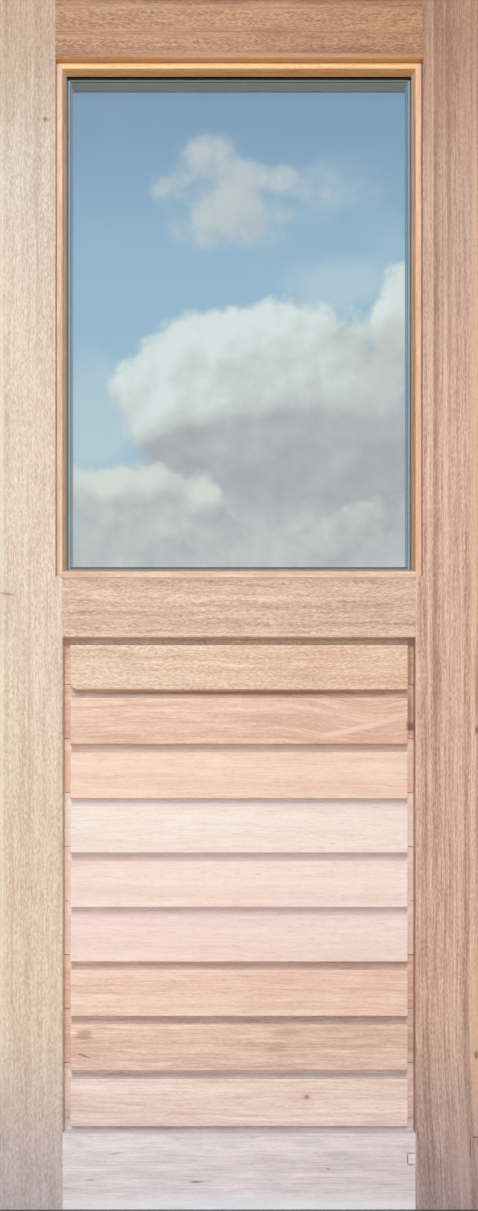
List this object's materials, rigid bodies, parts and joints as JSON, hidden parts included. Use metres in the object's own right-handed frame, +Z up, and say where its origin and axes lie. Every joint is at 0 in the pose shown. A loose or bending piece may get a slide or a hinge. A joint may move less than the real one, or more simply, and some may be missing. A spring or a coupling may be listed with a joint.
{
  "type": "half-glazed timber door with its frame",
  "caption": "Timber door leaf with a glazed upper light and a lower panel of lapped horizontal boards, hung on butt hinges in a plain rebated timber frame.",
  "frame": {"origin": "on the floor under the middle of the door, midway between the hinge barrels' front and the frame's back", "axes": "+X to the right seen from the front, +Y from the front towards the back, +Z up"},
  "size_m": [0.909, 0.1054, 2.086],
  "materials": {
    "stile_left_wood": "bare planed hardwood, pale beige, weathered towards the foot",
    "stile_right_wood": "bare planed hardwood, pinkish brown with straight darker streaks",
    "top_rail_wood": "bare planed hardwood, brown with a fine rippled figure",
    "mid_rail_wood": "bare planed hardwood, pinkish with a curly figure",
    "bottom_rail_wood": "bare hardwood, weathered to a pale greyish mauve",
    "board_wood": "bare planed hardwood, from pale cream to peach and tan, board by board",
    "bead_wood": "bare hardwood, more orange than the rest",
    "frame_wood": "bare planed hardwood",
    "patch_wood": "let-in hardwood",
    "glass": "clear float glass",
    "spacer_metal": "mill-grey spacer bar",
    "sealant": "black sealant",
    "glazing_tape": "dark foam tape",
    "block_plastic": "plain plastic packer",
    "brad_steel": "plain steel",
    "hinge_steel": "satin steel"
  },
  "bodies": {
    "frame": {"jamb_left": "frame_wood", "jamb_right": "frame_wood", "head": "frame_wood", "hinge_upper_frame_plate": "hinge_steel", "hinge_middle_frame_plate": "hinge_steel", "hinge_lower_frame_plate": "hinge_steel", "hinge_upper_pin": "hinge_steel", "hinge_middle_pin": "hinge_steel", "hinge_lower_pin": "hinge_steel"},
    "door_leaf": {"stile_left": "stile_left_wood", "stile_right": "stile_right_wood", "top_rail": "top_rail_wood", "mid_rail": "mid_rail_wood", "bottom_rail": "bottom_rail_wood", "board_1": "board_wood", "board_2": "board_wood", "board_3": "board_wood", "board_4": "board_wood", "board_5": "board_wood", "board_6": "board_wood", "board_7": "board_wood", "board_8": "board_wood", "board_9": "board_wood", "patch_stile": "patch_wood", "patch_rail": "patch_wood", "bead_top": "bead_wood", "bead_bottom": "bead_wood", "bead_left": "bead_wood", "bead_right": "bead_wood", "bead_brads": "brad_steel", "glass_outer": "glass", "glass_inner": "glass", "spacer_bar": "spacer_metal", "unit_sealant": "sealant", "tape_outer": "glazing_tape", "tape_inner": "glazing_tape", "setting_blocks": "block_plastic", "hinge_upper_leaf_plate": "hinge_steel", "hinge_middle_leaf_plate": "hinge_steel", "hinge_lower_leaf_plate": "hinge_steel"}
  },
  "joints": [
    {"name": "leaf_swing", "type": "hinge", "parent": "frame", "child": "door_leaf", "pos_m": [-0.408, -0.04725, 1.022], "axis": [0, 0, -1], "range_deg": [0, 170]}
  ]
}
